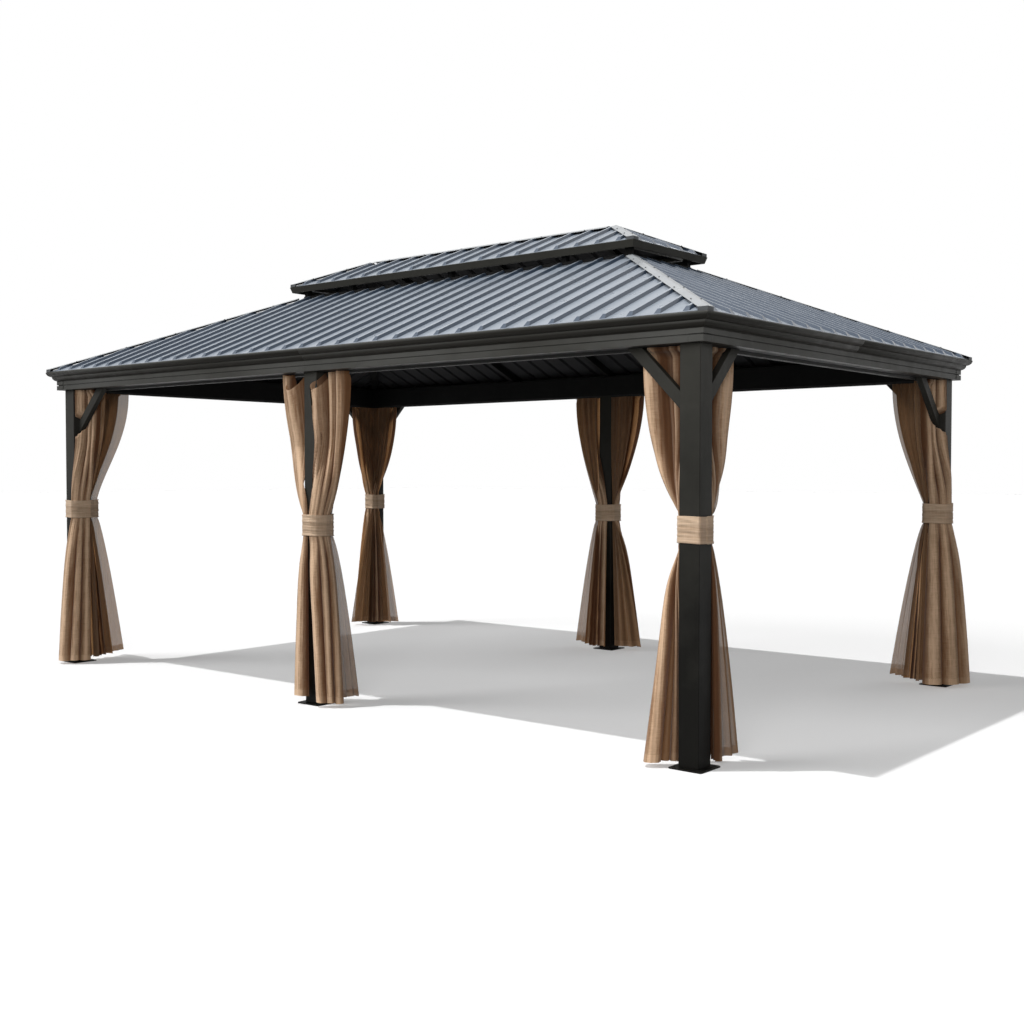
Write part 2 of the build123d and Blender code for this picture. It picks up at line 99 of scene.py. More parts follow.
def post_centre(name):
    low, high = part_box(f"post_{name}")
    return np.array([(low.x + high.x) / 2, (low.y + high.y) / 2])


def tie_span(name):
    """Lowest and highest point of the tie-back round a post."""
    places = [v.co for v in nodes["tie_backs"].data.vertices]
    x, y = post_centre(name)
    heights = [p.z for p in places if math.hypot(p.x - x, p.y - y) < tie_reach]
    return min(heights), max(heights)


# Node trees


class Shader:
    """A material's node tree, with short calls to add and link nodes."""

    def __init__(self, name):
        self.material = bpy.data.materials.new(name)
        self.material.use_nodes = True
        self.tree = self.material.node_tree
        self.surface = self.tree.nodes["Principled BSDF"]
        self.output = self.tree.nodes["Material Output"]

    def node(self, kind, settings=None, **values):
        made = self.tree.nodes.new(kind)
        for key, value in (settings or {}).items():
            setattr(made, key, value)
        for key, value in values.items():
            self.put(made.inputs[key.replace("_", " ")], value)
        return made

    def put(self, socket, value):
        if isinstance(value, bpy.types.NodeSocket):
            self.tree.links.new(value, socket)
        else:
            socket.default_value = value

    def set(self, **values):
        for key, value in values.items():
            self.put(self.surface.inputs[key.replace("_", " ")], value)

    def place(self, stretch=(1, 1, 1), layer=None):
        """Coordinates in metres, of the object or of a layer laid on the cloth,
        stretched to make a texture run along one way."""
        if layer:
            source = self.node("ShaderNodeUVMap", {"uv_map": layer}).outputs["UV"]
        else:
            source = self.node("ShaderNodeTexCoord").outputs["Object"]
        mapping = self.node("ShaderNodeMapping", Vector=source)
        mapping.inputs["Scale"].default_value = stretch
        return mapping.outputs["Vector"]

    def part(self, vector, axis):
        return self.node("ShaderNodeSeparateXYZ", Vector=vector).outputs[axis]

    def noise(self, where, scale, detail, roughness):
        made = self.node("ShaderNodeTexNoise", Vector=where, Scale=scale, Detail=detail)
        made.inputs["Roughness"].default_value = roughness
        return made.outputs["Fac"]

    def ramp(self, factor, low, high, start=0.0, end=1.0):
        made = self.node("ShaderNodeValToRGB", Fac=factor)
        made.color_ramp.elements[0].position = start
        made.color_ramp.elements[1].position = end
        made.color_ramp.elements[0].color = low
        made.color_ramp.elements[1].color = high
        return made.outputs["Color"]

    def span(self, factor, low, high, start=0.0, end=1.0):
        made = self.node("ShaderNodeMapRange", Value=factor)
        for key, value in (("From Min", start), ("From Max", end), ("To Min", low), ("To Max", high)):
            self.put(made.inputs[key], value)
        return made.outputs["Result"]

    def math(self, operation, a, b=0.0):
        made = self.node("ShaderNodeMath", {"operation": operation})
        self.put(made.inputs[0], a)
        self.put(made.inputs[1], b)
        return made.outputs["Value"]

    def mix(self, factor, a, b):
        made = self.node("ShaderNodeMix", {"data_type": "RGBA"})
        self.put(made.inputs[0], factor)
        self.put(made.inputs[6], a)
        self.put(made.inputs[7], b)
        return made.outputs[2]

    def bump(self, height, strength, distance, over=None):
        """Bump of a height in metres, over another bump's normal if one is given."""
        made = self.node("ShaderNodeBump", Height=height, Strength=strength, Distance=distance)
        if over:
            self.put(made.inputs["Normal"], over)
        return made.outputs["Normal"]

    def blend(self, factor, a, b):
        """Mix of two shaders, as an output socket."""
        made = self.node("ShaderNodeMixShader", Fac=factor)
        self.put(made.inputs[1], a)
        self.put(made.inputs[2], b)
        return made.outputs["Shader"]

    def finish(self, shader):
        self.put(self.output.inputs["Surface"], shader)


# Metal finishes: scales are features a metre, and bump heights are metres
noise_span = (0.3, 0.7)  # most of a noise lies between these
mottle_scale = 3.0
painted_light_mottle = 0.22  # how far mottling shifts the painted light gradient, as a share of it
smear_scale = 11.0
smear_run = (1, 1, 0.25)  # smears run down
paint_smear = (-0.06, 0.08)  # what smears take off the roughness and add to it
paint_specular = 0.06
paint_grain = 520
peel_strength = 0.12
peel_height = 0.0006
# Masks for painted shade, on undersides, steep rib sides and faces that lean out
above_facing = (-0.05, 0.05)  # upward share of a normal, from the underside to the top
flat_facing = (0.66, 0.84)  # the same, from steep to flat
lean_facing = (-0.45, -0.10)  # the same, from leaning out to upright
dust_scale = 2.6
dust_run = (1, 0.5, 0.5)
dust_span = (0.32, 0.72)
gloss_scale = 7.0
roof_smear = (-0.05, 0.08)
roof_specular = 0.35
under_rough = 0.9
buckle_scale = 5.0
buckle_run = (1, 0.4, 0.4)
buckle_strength = 0.10
buckle_height = 0.004
cornice_rough = 0.42
cornice_scale = 1.3
cornice_run = (0.5, 0.5, 1)
cornice_span = (0.36, 0.66)


def painted_metal(name, dark, light, roughness, specular, grain, painted_light_heights=None):
    """Powder coat: a fine orange-peel bump, soft mottling and dusty streaks.

    Painted light and shade: the paint goes from dark low down to light high up, between two given
    heights.
    """
    shader = Shader(name)
    tone = shader.noise(shader.place(), mottle_scale, detail=5.0, roughness=0.6)
    if painted_light_heights:
        height = shader.span(shader.part(shader.place(), "Z"), 0.0, 1.0, *painted_light_heights)
        tone = shader.math("ADD", height, shader.span(tone, -painted_light_mottle, painted_light_mottle, *noise_span))
        shader.set(Base_Color=shader.ramp(tone, dark, light))
    else:
        shader.set(Base_Color=shader.ramp(tone, dark, light, *noise_span))
    smear = shader.noise(shader.place(smear_run), smear_scale, detail=4.0, roughness=0.55)
    rough = [roughness + change for change in paint_smear]
    shader.set(Roughness=shader.span(smear, *rough, *noise_span))
    peel = shader.noise(shader.place(), grain, detail=2.0, roughness=0.5)
    shader.set(Normal=shader.bump(peel, peel_strength, peel_height), Specular_IOR_Level=specular)
    return shader


def upward(shader):
    """Upward share of the surface's own normal."""
    return shader.part(shader.node("ShaderNodeNewGeometry").outputs["True Normal"], "Z")


def roof_metal(name, steep_shade, dark, light, under_shade, roughness):
    """Coated steel: dusty where it lies flat, with painted shade on the sides of the ribs, and dull with
    painted shade below."""
    shader = Shader(name)
    facing = upward(shader)
    above = shader.span(facing, 0.0, 1.0, *above_facing)
    flat = shader.span(facing, 0.0, 1.0, *flat_facing)
    dust = shader.noise(shader.place(dust_run), dust_scale, detail=6.0, roughness=0.62)
    colour = shader.mix(flat, steep_shade, shader.ramp(dust, dark, light, *dust_span))
    shader.set(Base_Color=shader.mix(above, under_shade, colour))
    smear = shader.noise(shader.place(), gloss_scale, detail=4.0, roughness=0.55)
    rough = [roughness + change for change in roof_smear]
    shader.set(Roughness=shader.span(above, under_rough, shader.span(smear, *rough, *noise_span)))
    buckle = shader.noise(shader.place(buckle_run), buckle_scale, detail=2.0, roughness=0.5)
    shader.set(Normal=shader.bump(buckle, buckle_strength, buckle_height))
    shader.set(Specular_IOR_Level=roof_specular)
    return shader


def cornice_paint(name, under_shade, dark, light):
    """Powder coat, mottled on upright faces, with a painted shade on those that lean out."""
    shader = painted_metal(name, dark, light, cornice_rough, paint_specular, paint_grain)
    tone = shader.noise(shader.place(cornice_run), cornice_scale, detail=5.0, roughness=0.62)
    upright = shader.span(upward(shader), 0.0, 1.0, *lean_facing)
    colour = shader.ramp(tone, dark, light, *cornice_span)
    shader.set(Base_Color=shader.mix(upright, under_shade, colour))
    return shader


cornice_shader = cornice_paint(
    "cornice_paint",
    # painted shade on the faces that lean out
    under_shade=(0.017, 0.0160, 0.0135, 1),
    dark=(0.036, 0.0355, 0.0310, 1),
    light=(0.078, 0.0780, 0.0730, 1),
)
# Painted shade: a near-black copy of the frame paint for the rafters, beams and vent, which lie in shade
# under the roof
shaded_inner_shader = painted_metal(
    "inner_paint_shade",
    dark=(0.0060, 0.0060, 0.0062, 1),
    light=(0.0120, 0.0120, 0.0118, 1),
    roughness=0.55,
    specular=paint_specular,
    grain=paint_grain,
)
frame_shader = painted_metal(
    "frame_paint",
    dark=(0.0045, 0.0043, 0.0036, 1),
    light=(0.032, 0.0310, 0.0265, 1),
    roughness=0.46,
    specular=paint_specular,
    grain=paint_grain,
    # painted shade towards the bottom of the frame and painted light towards the top
    painted_light_heights=(0.5, 2.2),
)
# steep and under are painted shade, on the sides of the ribs and on the underside
roof_shader = roof_metal(
    "roof_steel",
    steep_shade=(0.050, 0.069, 0.100, 1),
    dark=(0.205, 0.235, 0.275, 1),
    light=(0.270, 0.305, 0.350, 1),
    under_shade=(0.006, 0.006, 0.007, 1),
    roughness=0.30,
)
cap_shader = roof_metal(
    "cap_steel",
    steep_shade=(0.060, 0.066, 0.072, 1),
    dark=(0.270, 0.285, 0.300, 1),
    light=(0.340, 0.355, 0.365, 1),
    under_shade=(0.010, 0.011, 0.012, 1),
    roughness=0.32,
)
rail_shader = painted_metal(
    "rail_aluminium",
    dark=(0.009, 0.009, 0.009, 1),
    light=(0.014, 0.014, 0.013, 1),
    roughness=0.5,
    specular=0.2,
    grain=600,
)

# Cloth: coordinates are metres across the sheet and up from its hem
hem_band = 0.046
stitch_line = 0.043
stitch_half = 0.0009  # half the width of a line of stitches
stitch_step = 0.007
stitch_dash = 0.62  # share of a step that its thread takes
thread_fine = 420
thread_slub = 105
crease_scale = 60
patch_scale = 7.0
thread_run = 0.03  # scale of each texture along its run, as a share of that across it
warp_run = 0.08
weft_run = 0.16
crease_run = 0.02
patch_run = 0.35
weft_share = 0.5  # strength of the slubs that run across, beside those that run up
weave_tone = 0.16  # what each texture adds to the tone
slub_tone = 0.30
# painted shade in the creases: the tone follows the crease bump, darker where it is low
crease_shade_tone = 0.42
patch_tone = 0.30
hem_tone = 0.08
stitch_tone = -0.30
# painted highlight along the crest of each fold
fold_highlight_tone = 0.16
tone_span = (0.62, 0.90)
# painted shade between the folds: how dark it gets, and over which range of the fold layer
fold_shade_most = 0.96
fold_shade_span = (0.04, 0.88)
cloth_rough = 0.92
cloth_specular = 0.2
sheen_weight = 0.2
sheen_rough = 0.5
crease_bump = 0.55
crease_height = 0.004
weave_bump = 0.5
weave_height = 0.0010
stitch_depth = 2.0  # in heights of the weave
through_share = 0.26  # of the light
hem_cover = 0.95  # of a net's doubled hem


def cloth_shader(name, dark, light, through, painted_fold_shade=None, see_through=0.0):
    """Slub weave that lets some light through; a net is mixed with clear gaps.

    A painted shade goes deep between the folds, and a painted highlight makes their edges paler.
    """
    shader = Shader(name)

    def texture(across, up, scale, detail, roughness=0.6):
        return shader.noise(shader.place((across, up, 1), "cloth"), scale, detail, roughness)

    fine_warp = texture(1, thread_run, thread_fine, detail=2)
    fine_weft = texture(thread_run, 1, thread_fine, detail=2)
    weave = shader.math("ADD", fine_warp, fine_weft)
    warp = texture(1, warp_run, thread_slub, detail=3)
    weft = texture(weft_run, 1, thread_slub, detail=3)
    slub = shader.math("ADD", warp, shader.math("MULTIPLY", weft, weft_share))
    crease = texture(1, crease_run, crease_scale, detail=3)
    patches = texture(1, patch_run, patch_scale, detail=4.0, roughness=0.55)
    u = shader.part(shader.place(layer="cloth"), "X")
    v = shader.part(shader.place(layer="cloth"), "Y")
    doubled = shader.math("LESS_THAN", v, hem_band)
    seam = shader.node("ShaderNodeMath", {"operation": "COMPARE"})
    shader.put(seam.inputs[0], v)
    seam.inputs[1].default_value = stitch_line
    seam.inputs[2].default_value = stitch_half
    steps = shader.math("FRACT", shader.math("DIVIDE", u, stitch_step))
    dash = shader.math("LESS_THAN", steps, stitch_dash)
    stitch = shader.math("MULTIPLY", seam.outputs["Value"], dash)

    tones = [(slub, slub_tone), (crease, crease_shade_tone), (patches, patch_tone)]
    tones += [(doubled, hem_tone), (stitch, stitch_tone)]
    # painted highlight along the crests of the folds
    if painted_fold_shade:
        tones.append((shader.part(shader.place(layer="fold"), "Y"), fold_highlight_tone))
    tone = shader.math("MULTIPLY", weave, weave_tone)
    for source, share in tones:
        tone = shader.math("ADD", tone, shader.math("MULTIPLY", source, share))
    colour = shader.ramp(tone, dark, light, *tone_span)
    # painted shade, darkest deep in the recesses between the folds
    if painted_fold_shade:
        fold = shader.part(shader.place(layer="fold"), "X")
        colour = shader.mix(shader.span(fold, fold_shade_most, 0.0, *fold_shade_span), colour, painted_fold_shade)
    shader.set(Base_Color=colour, Roughness=cloth_rough, Specular_IOR_Level=cloth_specular)
    shader.set(Sheen_Weight=sheen_weight, Sheen_Roughness=sheen_rough)

    raised = shader.math("ADD", weave, slub)
    raised = shader.math("SUBTRACT", raised, shader.math("MULTIPLY", stitch, stitch_depth))
    creased = shader.bump(crease, crease_bump, crease_height)
    shader.set(Normal=shader.bump(raised, weave_bump, weave_height, creased))
    back = shader.node("ShaderNodeBsdfTranslucent", Color=through).outputs["BSDF"]
    cloth = shader.blend(through_share, shader.surface.outputs["BSDF"], back)
    if see_through:
        cover = shader.math("MAXIMUM", shader.math("MULTIPLY", doubled, hem_cover), 1 - see_through)
        cloth = shader.blend(cover, shader.node("ShaderNodeBsdfTransparent").outputs["BSDF"], cloth)
    shader.finish(cloth)
    return shader


fabric_shader = cloth_shader(
    "curtain_fabric",
    dark=(0.23, 0.122, 0.062, 1),
    light=(0.80, 0.560, 0.370, 1),
    through=(0.50, 0.260, 0.110, 1),
    # painted shade between the folds
    painted_fold_shade=(0.085, 0.034, 0.013, 1),
)
net_shader = cloth_shader(
    "curtain_net",
    dark=(0.19, 0.105, 0.052, 1),
    light=(0.29, 0.180, 0.105, 1),
    through=(0.20, 0.105, 0.045, 1),
    see_through=0.15,
)
band_shader = cloth_shader(
    "tie_back_fabric",
    dark=(0.42, 0.295, 0.195, 1),
    light=(0.78, 0.600, 0.430, 1),
    through=(0.50, 0.290, 0.150, 1),
)

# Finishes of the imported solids

frame_starts = ("post_", "braces_", "upper_fascia", "upper_plate")
# Parts under the roof, which get the paint with painted shade
inner_starts = ("rafters", "hip_rafters", "upper_rafters", "vent_")
edge_round = 0.0022
edge_segments = 2
edge_angle = 40.0  # edges that turn by more are rounded
weld_reach = 0.00005


def finish_node(name, shader):
    node = nodes[name]
    node.data.materials.clear()
    node.data.materials.append(shader.material)


def round_edges(name):
    """Soften a solid's sharp edges so that they catch the light."""
    weld = nodes[name].modifiers.new("weld", "WELD")
    weld.merge_threshold = weld_reach
    bevel = nodes[name].modifiers.new("edges", "BEVEL")
    bevel.width = edge_round
    bevel.segments = edge_segments
    bevel.limit_method = "ANGLE"
    bevel.angle_limit = math.radians(edge_angle)
    bevel.harden_normals = True


for name in nodes:
    if name.endswith("_sheet"):
        finish_node(name, roof_shader)
    elif name in ("hip_caps", "upper_hip_caps", "ridge_cap"):
        finish_node(name, cap_shader)
    elif name == "curtain_rails":
        finish_node(name, rail_shader)
    elif name.endswith("_cornice") or name == "cornice_corner_caps":
        finish_node(name, cornice_shader)
        round_edges(name)
    elif name.startswith(inner_starts) or name.endswith("_beam"):
        finish_node(name, shaded_inner_shader)
    elif name.startswith(frame_starts) or name == "base_plates":
        finish_node(name, frame_shader)
        if name.startswith(("post_", "braces_")) or name == "base_plates":
            round_edges(name)

# Meshes


def new_piece(name, points, faces, shader, slot, smooth=True):
    """A mesh object that rides on the frame."""
    mesh = bpy.data.meshes.new(name)
    mesh.from_pydata([tuple(p) for p in points], [], faces)
    mesh.validate()
    mesh.materials.append(shader.material)
    mesh.polygons.foreach_set("use_smooth", [smooth] * len(mesh.polygons))
    piece = bpy.data.objects.new(name, mesh)
    bpy.context.scene.collection.objects.link(piece)
    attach(piece, "root")
    return piece


def lay_cloth(piece, u, v, name="cloth"):
    """A layer on the cloth, from one pair of numbers for each vertex."""
    corners_of = np.zeros(len(piece.data.loops), dtype=np.int32)
    piece.data.loops.foreach_get("vertex_index", corners_of)
    layer = piece.data.uv_layers.new(name=name)
    pairs = np.stack((np.ravel(u)[corners_of], np.ravel(v)[corners_of]), axis=1)
    layer.data.foreach_set("uv", pairs.ravel().astype(np.float32))


def grid_faces(rows, columns, closed=False):
    last = columns if closed else columns - 1
    faces = []
    for i in range(rows - 1):
        for j in range(last):
            k = (j + 1) % columns
            faces.append((i * columns + j, i * columns + k, (i + 1) * columns + k, (i + 1) * columns + j))
    return faces


def smooth_curve(x, xs, ys):
    """Smooth curve through a few points, with even slopes at each."""
    xs, ys = np.asarray(xs, float), np.asarray(ys, float)
    slopes = np.gradient(ys, xs)
    i = np.clip(np.searchsorted(xs, x) - 1, 0, len(xs) - 2)
    h = xs[i + 1] - xs[i]
    t = np.clip((x - xs[i]) / h, 0, 1)
    a, b = ys[i], ys[i + 1]
    p, q = slopes[i] * h, slopes[i + 1] * h
    return a + t * p + t**2 * (3 * (b - a) - 2 * p - q) + t**3 * (2 * (a - b) + p + q)


def ease(x):
    """Smooth step from 0 to 1."""
    x = np.clip(x, 0, 1)
    return x * x * (3 - 2 * x)


# Curtains: each sheet hangs from its track, is drawn in at the tie-back and
# spreads to its hem. A place is along the rail from the post's middle and
# outward from it, given at the post's end, the middle and the free edge of
# the sheet. Lobes are the broad folds between them, from the post outward:
# the share of the sheet that each takes, its depth, how far it leans along
# the rail and how far its top droops between two rings. Lift raises the hem,
# and a low sweep makes the sheet spread soon above its tie-back.

Drape = namedtuple("Drape", "top waist hem lobes deep lean droop lift sweep")

fabric_columns = 148
net_columns = 72
sheet_rows = 104
end_rows = 6  # of those, in the hem, and as many in the header
sheet_seed = 100
seed_step = 10  # from one post to the next
gather_share = 0.84  # of a sheet's cut width, what its folds take up
cloth_gap = 0.008  # cloth clear of a post's faces
post_corner = 14  # how square the clearance round a post is
core_share = 0.1  # of that clearance, where the push away from the post's middle is strongest
brace_clear = -0.024  # cloth behind the braces, outward of the post's middle
brace_edge = 0.3195  # a brace's inner edge along the rail, at the beam
brace_reach = 0.0905  # from there to its outer edge
brace_turn = 0.030  # the cloth goes behind the brace over this length
brace_lead = 1.2  # and starts this many such lengths before the brace's inner edge
rail_front = -0.018  # header in front of the rail
header_gap = 0.002  # below the top of the rail
header_top = rail_high.z - header_gap
header_height = 0.030
shade_reach = 3.6  # how far the painted shade of a recess reaches up its folds
shade_start = 0.95  # share of the deepest fold at which that painted shade starts
shade_depth = 0.03  # folds shallower than this have a weaker painted shade
fold_highlight_width = 0.09  # of a fold's painted highlight, as a share of the fold
free_share = 0.6  # of the height over a tie-back, after which the folds hang free
flare_along = 0.75  # how late a skirt spreads along the rail
flare_out = 0.65  # and how late it spreads outward
lobe_jitter = 0.05  # how far the folds' shares vary
deep_jitter = 0.10  # and their depths
lobe_round = 0.6  # a lower number makes a fold boxier
lobe_skew = 0.28  # how far a lean moves the middle of a fold
lean_shift = 0.8  # how far it carries the fold along, as a share of its depth
wander_size = 0.02  # folds stray by this share of the sheet
wander_pace = 2.2  # radians a metre of height
wave_slip = (0, 6)  # random start of a wave, in radians
wave_drift = (-2, 2)  # its random drift, in radians a metre of height
tie_fade = 0.20  # height over which the creases of a tie-back fade
header_fade = 0.30  # and those of the header
tie_ripple = 0.0030
tie_waves = (7, 11, 17)  # across the sheet
header_ripple = 0.0030
header_waves = (9, 13)
broad_ripple = 0.0035
broad_waves = (3, 5)
fine_ripple = 0.0018
fine_waves = (9, 12, 16)
free_ripple = 0.0016  # added to the fine ones where the folds hang free
droop_start = 1.72  # height above which a header's droop shows
droop_round = 1.5
puff_share = 0.5  # of a fold's depth, by which its header stands off the rail
hem_jitter = 0.006

fabric = Drape(
    top=((0.068, -0.070), (0.200, -0.070), (0.338, -0.070)),
    waist=((0.070, 0.040), (0.076, -0.004), (0.080, -0.050)),
    hem=((0.085, 0.000), (0.160, 0.055), (0.250, 0.060)),
    lobes=(0.26, 0.22, 0.20, 0.32),
    deep=(0.8, 1.0, 0.8, 1.1),
    lean=(0.2, 0.3, 0.3, 0.2),
    droop=(0, 0, 0, 0),
    lift=0,
    sweep=1.0,
)
net = Drape(
    top=((0.072, -0.078), (0.180, -0.078), (0.290, -0.078)),
    waist=((0.074, -0.056), (0.084, -0.060), (0.092, -0.062)),
    hem=((0.100, -0.060), (0.210, -0.058), (0.340, -0.015)),
    lobes=(0.36, 0.34, 0.30),
    deep=(1, 1, 1),
    lean=(0, 0, 0),
    droop=(0, 0, 0),
    lift=0.012,
    sweep=1.0,
)
middle_fabric = fabric._replace(top=((0.068, -0.034), (0.200, -0.034), (0.330, -0.034)))

# Sheets that differ from those three
drapes = {
    ("front_right", "long"): (
        fabric._replace(
            top=((0.068, -0.070), (0.185, -0.070), (0.308, -0.070)),
            hem=((0.078, -0.010), (0.150, 0.050), (0.240, 0.092)),
            lobes=(0.16, 0.18, 0.22, 0.44),
            deep=(0.45, 0.55, 0.15, 1.3),
            lean=(0.8, 0.9, 0.9, 0.7),
            sweep=0.62,
        ),
        net._replace(hem=((0.085, -0.064), (0.130, -0.064), (0.190, -0.062))),
    ),
    ("front_right", "short"): (
        fabric._replace(
            top=((0.068, -0.070), (0.250, -0.070), (0.430, -0.070)),
            waist=((0.070, 0.050), (0.078, 0.020), (0.080, -0.040)),
            hem=((0.076, 0.072), (0.102, 0.030), (0.108, -0.045)),
            lobes=(0.24, 0.22, 0.54),
            deep=(0.8, 0.8, 1.2),
            lean=(0, 0, 0.2),
            droop=(0, 0, 0),
            sweep=0.62,
        ),
        net._replace(
            top=((0.072, -0.078), (0.220, -0.078), (0.390, -0.078)),
            waist=((0.076, 0.044), (0.086, 0.036), (0.098, 0.026)),
            hem=((0.105, 0.050), (0.200, 0.078), (0.300, 0.074)),
            sweep=0.62,
        ),
    ),
    ("front_middle", "right"): (
        middle_fabric._replace(
            top=((0.068, -0.034), (0.170, -0.034), (0.285, -0.034)),
            waist=((0.004, 0.070), (0.070, 0.062), (0.072, -0.040)),
            hem=((0.110, 0.055), (0.180, 0.055), (0.238, 0.000)),
            lobes=(0.44, 0.28, 0.28),
            deep=(1.1, 0.8, 0.8),
            lean=(-1.0, -0.7, -0.6),
            droop=(0.110, 0.005, 0.0),
            sweep=0.85,
        ),
        net._replace(
            top=((0.072, -0.070), (0.130, -0.070), (0.200, -0.070)),
            waist=((0.020, -0.068), (0.042, -0.070), (0.062, -0.068)),
            hem=((0.150, -0.050), (0.165, -0.130), (0.165, -0.205)),
        ),
    ),
    ("front_middle", "left"): (
        middle_fabric._replace(
            waist=((0.018, 0.070), (0.046, 0.071), (0.068, 0.050)),
            hem=((0.014, 0.068), (0.085, 0.068), (0.130, 0.000)),
            lobes=(0.62, 0.20, 0.18),
            deep=(0.9, 0.7, 0.6),
            lean=(1.0, 0.6, 0.4),
            droop=(0.105, 0.010, 0.0),
            lift=0.022,
            sweep=0.85,
        ),
        net._replace(
            top=((0.072, -0.070), (0.130, -0.070), (0.200, -0.070)),
            waist=((0.020, -0.068), (0.042, -0.070), (0.062, -0.068)),
            hem=((0.060, -0.085), (0.070, -0.095), (0.085, -0.105)),
        ),
    ),
    ("front_left", "long"): (
        fabric._replace(
            top=((0.062, 0.030), (0.130, -0.045), (0.235, -0.068)),
            waist=((0.040, 0.070), (0.085, 0.045), (0.105, -0.046)),
            hem=((-0.022, 0.118), (0.080, 0.118), (0.150, -0.010)),
            lobes=(0.52, 0.24, 0.24),
            deep=(0.8, 0.9, 0.9),
            lean=(-0.5, -0.3, -0.3),
            droop=(0, 0, 0),
        ),
        net._replace(hem=((0.110, -0.060), (0.130, -0.075), (0.150, -0.090))),
    ),
    ("front_left", "short"): (
        fabric._replace(hem=((0.085, -0.050), (0.180, -0.055), (0.290, -0.030)), sweep=1.2),
        net._replace(
            top=((0.072, -0.078), (0.240, -0.078), (0.430, -0.078)),
            waist=((0.074, -0.056), (0.100, -0.060), (0.140, -0.062)),
            hem=((0.200, -0.050), (0.330, 0.000), (0.445, 0.050)),
            sweep=1.3,
        ),
    ),
    ("back_right", "short"): (
        fabric._replace(
            top=((0.050, 0.050), (0.100, -0.030), (0.200, -0.066)),
            waist=((-0.012, 0.070), (0.062, 0.066), (0.085, -0.042)),
            hem=((-0.120, 0.130), (0.030, 0.135), (0.195, -0.035)),
            lobes=(0.46, 0.30, 0.24),
            deep=(0.8, 1.0, 1.0),
            lean=(-0.4, -0.3, -0.3),
            droop=(0, 0, 0),
        ),
        net._replace(hem=((0.110, -0.050), (0.150, -0.070), (0.200, -0.080))),
    ),
    ("back_right", "long"): (
        fabric._replace(
            top=((0.068, -0.070), (0.180, -0.070), (0.295, -0.070)),
            hem=((0.068, -0.066), (0.150, -0.075), (0.230, -0.055)),
        ),
        net._replace(
            top=((0.072, -0.078), (0.190, -0.078), (0.325, -0.078)),
            hem=((0.180, -0.075), (0.260, -0.055), (0.345, -0.020)),
        ),
    ),
    ("back_left", "long"): (
        fabric._replace(
            waist=((0.012, -0.070), (0.060, -0.074), (0.090, -0.046)),
            hem=((0.004, -0.130), (0.110, -0.140), (0.280, -0.070)),
        ),
        net,
    ),
    ("back_left", "short"): (
        fabric._replace(
            waist=((0.012, -0.070), (0.080, -0.030), (0.096, 0.034)),
            hem=((0.020, -0.130), (0.120, -0.060), (0.250, 0.040)),
        ),
        net,
    ),
    ("back_middle", "left"): (
        middle_fabric._replace(
            waist=((-0.030, -0.070), (0.050, -0.076), (0.082, -0.040)),
            hem=((-0.035, -0.130), (0.090, -0.130), (0.210, -0.070)),
        ),
        net,
    ),
}

# Depth of the lobes at the hem, at two heights below the tie-back, at its two
# edges, at two heights above it and at the top
below_tie = (0.50, 0.90)
above_tie = (1.55, 1.85)
corner_depth = (0.060, 0.054, 0.038, 0.011, 0.011, 0.040, 0.044, 0.042)
middle_depth = (0.062, 0.054, 0.038, 0.011, 0.011, 0.036, 0.056, 0.072)
net_depth = (0.020, 0.017, 0.012, 0.004, 0.004, 0.007, 0.008, 0.007)


def wings_of(name):
    """Each wing at a post: its name, the way along its rail and the way out."""
    sx, sy = signs(name)
    if name in middles:
        return [("right", (1, 0), (0, sy)), ("left", (-1, 0), (0, sy))]
    return [("long", (-sx, 0), (0, sy)), ("short", (0, -sy), (sx, 0))]


def sheet_heights(high):
    """Row heights, closer together at the hem and the header."""
    full = high - hem_z
    neck = full - header_height
    band = np.linspace(0, hem_band, end_rows + 1)
    rest = np.linspace(hem_band, neck, sheet_rows - 2 * end_rows)[1:]
    head = np.linspace(neck, full, end_rows + 1)[1:]
    return hem_z + np.concatenate((band, rest, head))


def guide_line(z, tie, sweep, top, waist, hem):
    """Path of one of a sheet's three guide points, over all row heights."""
    up = np.clip((z - tie[1]) / (top_z - tie[1]), 0, 1)
    lift = np.sin(up * math.pi / 2) ** sweep
    back = ease(up / free_share)
    down = np.clip((tie[0] - z) / (tie[0] - hem_z), 0, 1)
    along = waist[0] + (top[0] - waist[0]) * lift + (hem[0] - waist[0]) * down**flare_along
    out = waist[1] + (top[1] - waist[1]) * back + (hem[1] - waist[1]) * down**flare_out
    return np.stack((along, out), axis=1)


def spine_of(drape, z, t, tie):
    """Middle line of a sheet in each row, with its direction, side and length."""
    guides = zip(drape.top, drape.waist, drape.hem)
    start, middle, end = [guide_line(z[:, 0], tie, drape.sweep, *places)[:, None] for places in guides]
    bend = 2 * middle - (start + end) / 2
    s = t[..., None]
    spine = (1 - s) ** 2 * start + 2 * s * (1 - s) * bend + s**2 * end
    way = np.gradient(spine, axis=1)
    length = np.linalg.norm(way, axis=2).sum(axis=1, keepdims=True)
    way /= np.linalg.norm(way, axis=2, keepdims=True)
    side = np.stack((-way[..., 1], way[..., 0]), axis=2)
    return spine, way, side, length


def clear_of_post(along, out):
    """Push what would lie in the post straight out from its middle."""
    reach = post_half + cloth_gap
    square = (np.abs(along) ** post_corner + np.abs(out) ** post_corner) ** (1 / post_corner)
    grow = np.maximum(reach / np.maximum(square, reach * core_share), 1)
    return along * grow, out * grow


def behind_brace(along, out, z):
    """Cloth taken behind a brace, and how free each point is of the brace."""
    inner = brace_edge - (rail_high.z - z)
    outer = inner + brace_reach
    past_inner = ease((along - inner + brace_lead * brace_turn) / brace_turn)
    past_outer = ease((along - outer) / brace_turn)
    over = np.maximum(out - brace_clear, 0)
    out = out - over * past_inner * (1 - past_outer)
    along, out = clear_of_post(along, out)
    return along, out, ease((inner - along) / brace_turn)


